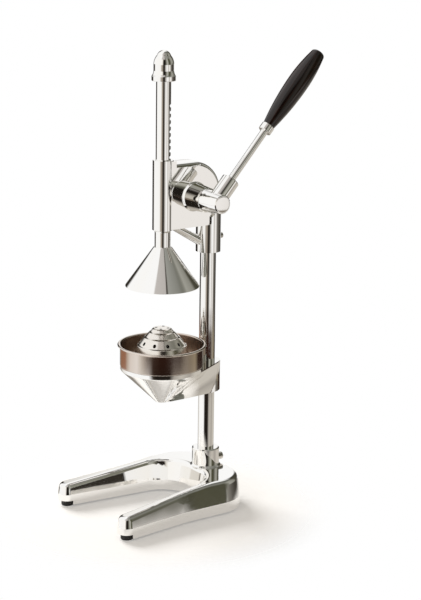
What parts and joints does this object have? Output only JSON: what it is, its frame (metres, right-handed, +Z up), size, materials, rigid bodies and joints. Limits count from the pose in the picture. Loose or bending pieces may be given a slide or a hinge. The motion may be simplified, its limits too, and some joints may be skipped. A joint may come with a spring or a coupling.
{
  "type": "citrus press",
  "caption": "Chrome lever citrus press: a side lever turns a gear that drives a toothed ram and its cone down over a pierced dome in a steel cup above a spout.",
  "frame": {"origin": "on the table under the middle of the press's outer box", "axes": "+Z up, -Y to the front where the legs point, +X to the lever's side"},
  "size_m": [0.1774, 0.331, 0.6273],
  "materials": {
    "chrome": "polished chrome plate",
    "cup_steel": "satin stainless sheet",
    "reamer_steel": "bright stainless sheet",
    "foot_rubber": "matt moulded rubber",
    "screw_steel": "plated screw steel",
    "gear_steel": "machined steel, oiled",
    "bush_brass": "plain turned",
    "dark_wood": "dark stained and lacquered"
  },
  "bodies": {
    "stand": {"base_casting": "chrome", "column": "chrome", "cup_holder": "chrome", "head_casting": "chrome", "gear_cover": "chrome", "foot_front_left": "foot_rubber", "foot_front_right": "foot_rubber", "foot_rear_left": "foot_rubber", "foot_rear_right": "foot_rubber", "foot_screws": "screw_steel", "base_set_screw": "screw_steel", "head_set_screw": "screw_steel", "holder_set_screw": "screw_steel", "cover_screws": "screw_steel", "barrel_bush": "bush_brass", "cover_bush": "bush_brass"},
    "lever": {"gear_shaft": "gear_steel", "gear_key": "screw_steel", "shaft_washer": "screw_steel", "shaft_screw": "screw_steel", "drive_gear": "gear_steel", "lever_hub": "chrome", "hub_cap": "chrome", "hub_pin": "screw_steel", "lever_rod": "chrome", "handle_ferrule": "chrome", "handle_grip": "dark_wood"},
    "ram": {"ram_rack": "chrome", "ram_cap": "chrome", "press_cone": "chrome", "cone_screw": "screw_steel"},
    "cup": {"juice_cup": "cup_steel"},
    "dome": {"reamer": "reamer_steel"}
  },
  "joints": [
    {"name": "lever_turn", "type": "hinge", "parent": "stand", "child": "lever", "pos_m": [0, -0.00639, 0.432], "axis": [-1, 0, 0], "range_deg": [-146.9, 0]},
    {"name": "ram_slide", "type": "slide", "parent": "stand", "child": "ram", "axis": [0, 0, 1], "range_m": [-0.09, 0]},
    {"name": "cup_lift", "type": "slide", "parent": "stand", "child": "cup", "axis": [0, 0, 1], "range_m": [0, 0.006]},
    {"name": "reamer_lift", "type": "slide", "parent": "cup", "child": "dome", "axis": [0, 0, 1], "range_m": [0, 0.003]}
  ],
  "couplings": [
    {"joint": "ram_slide", "follows": "lever_turn", "m_per_rad": 0.0351}
  ]
}
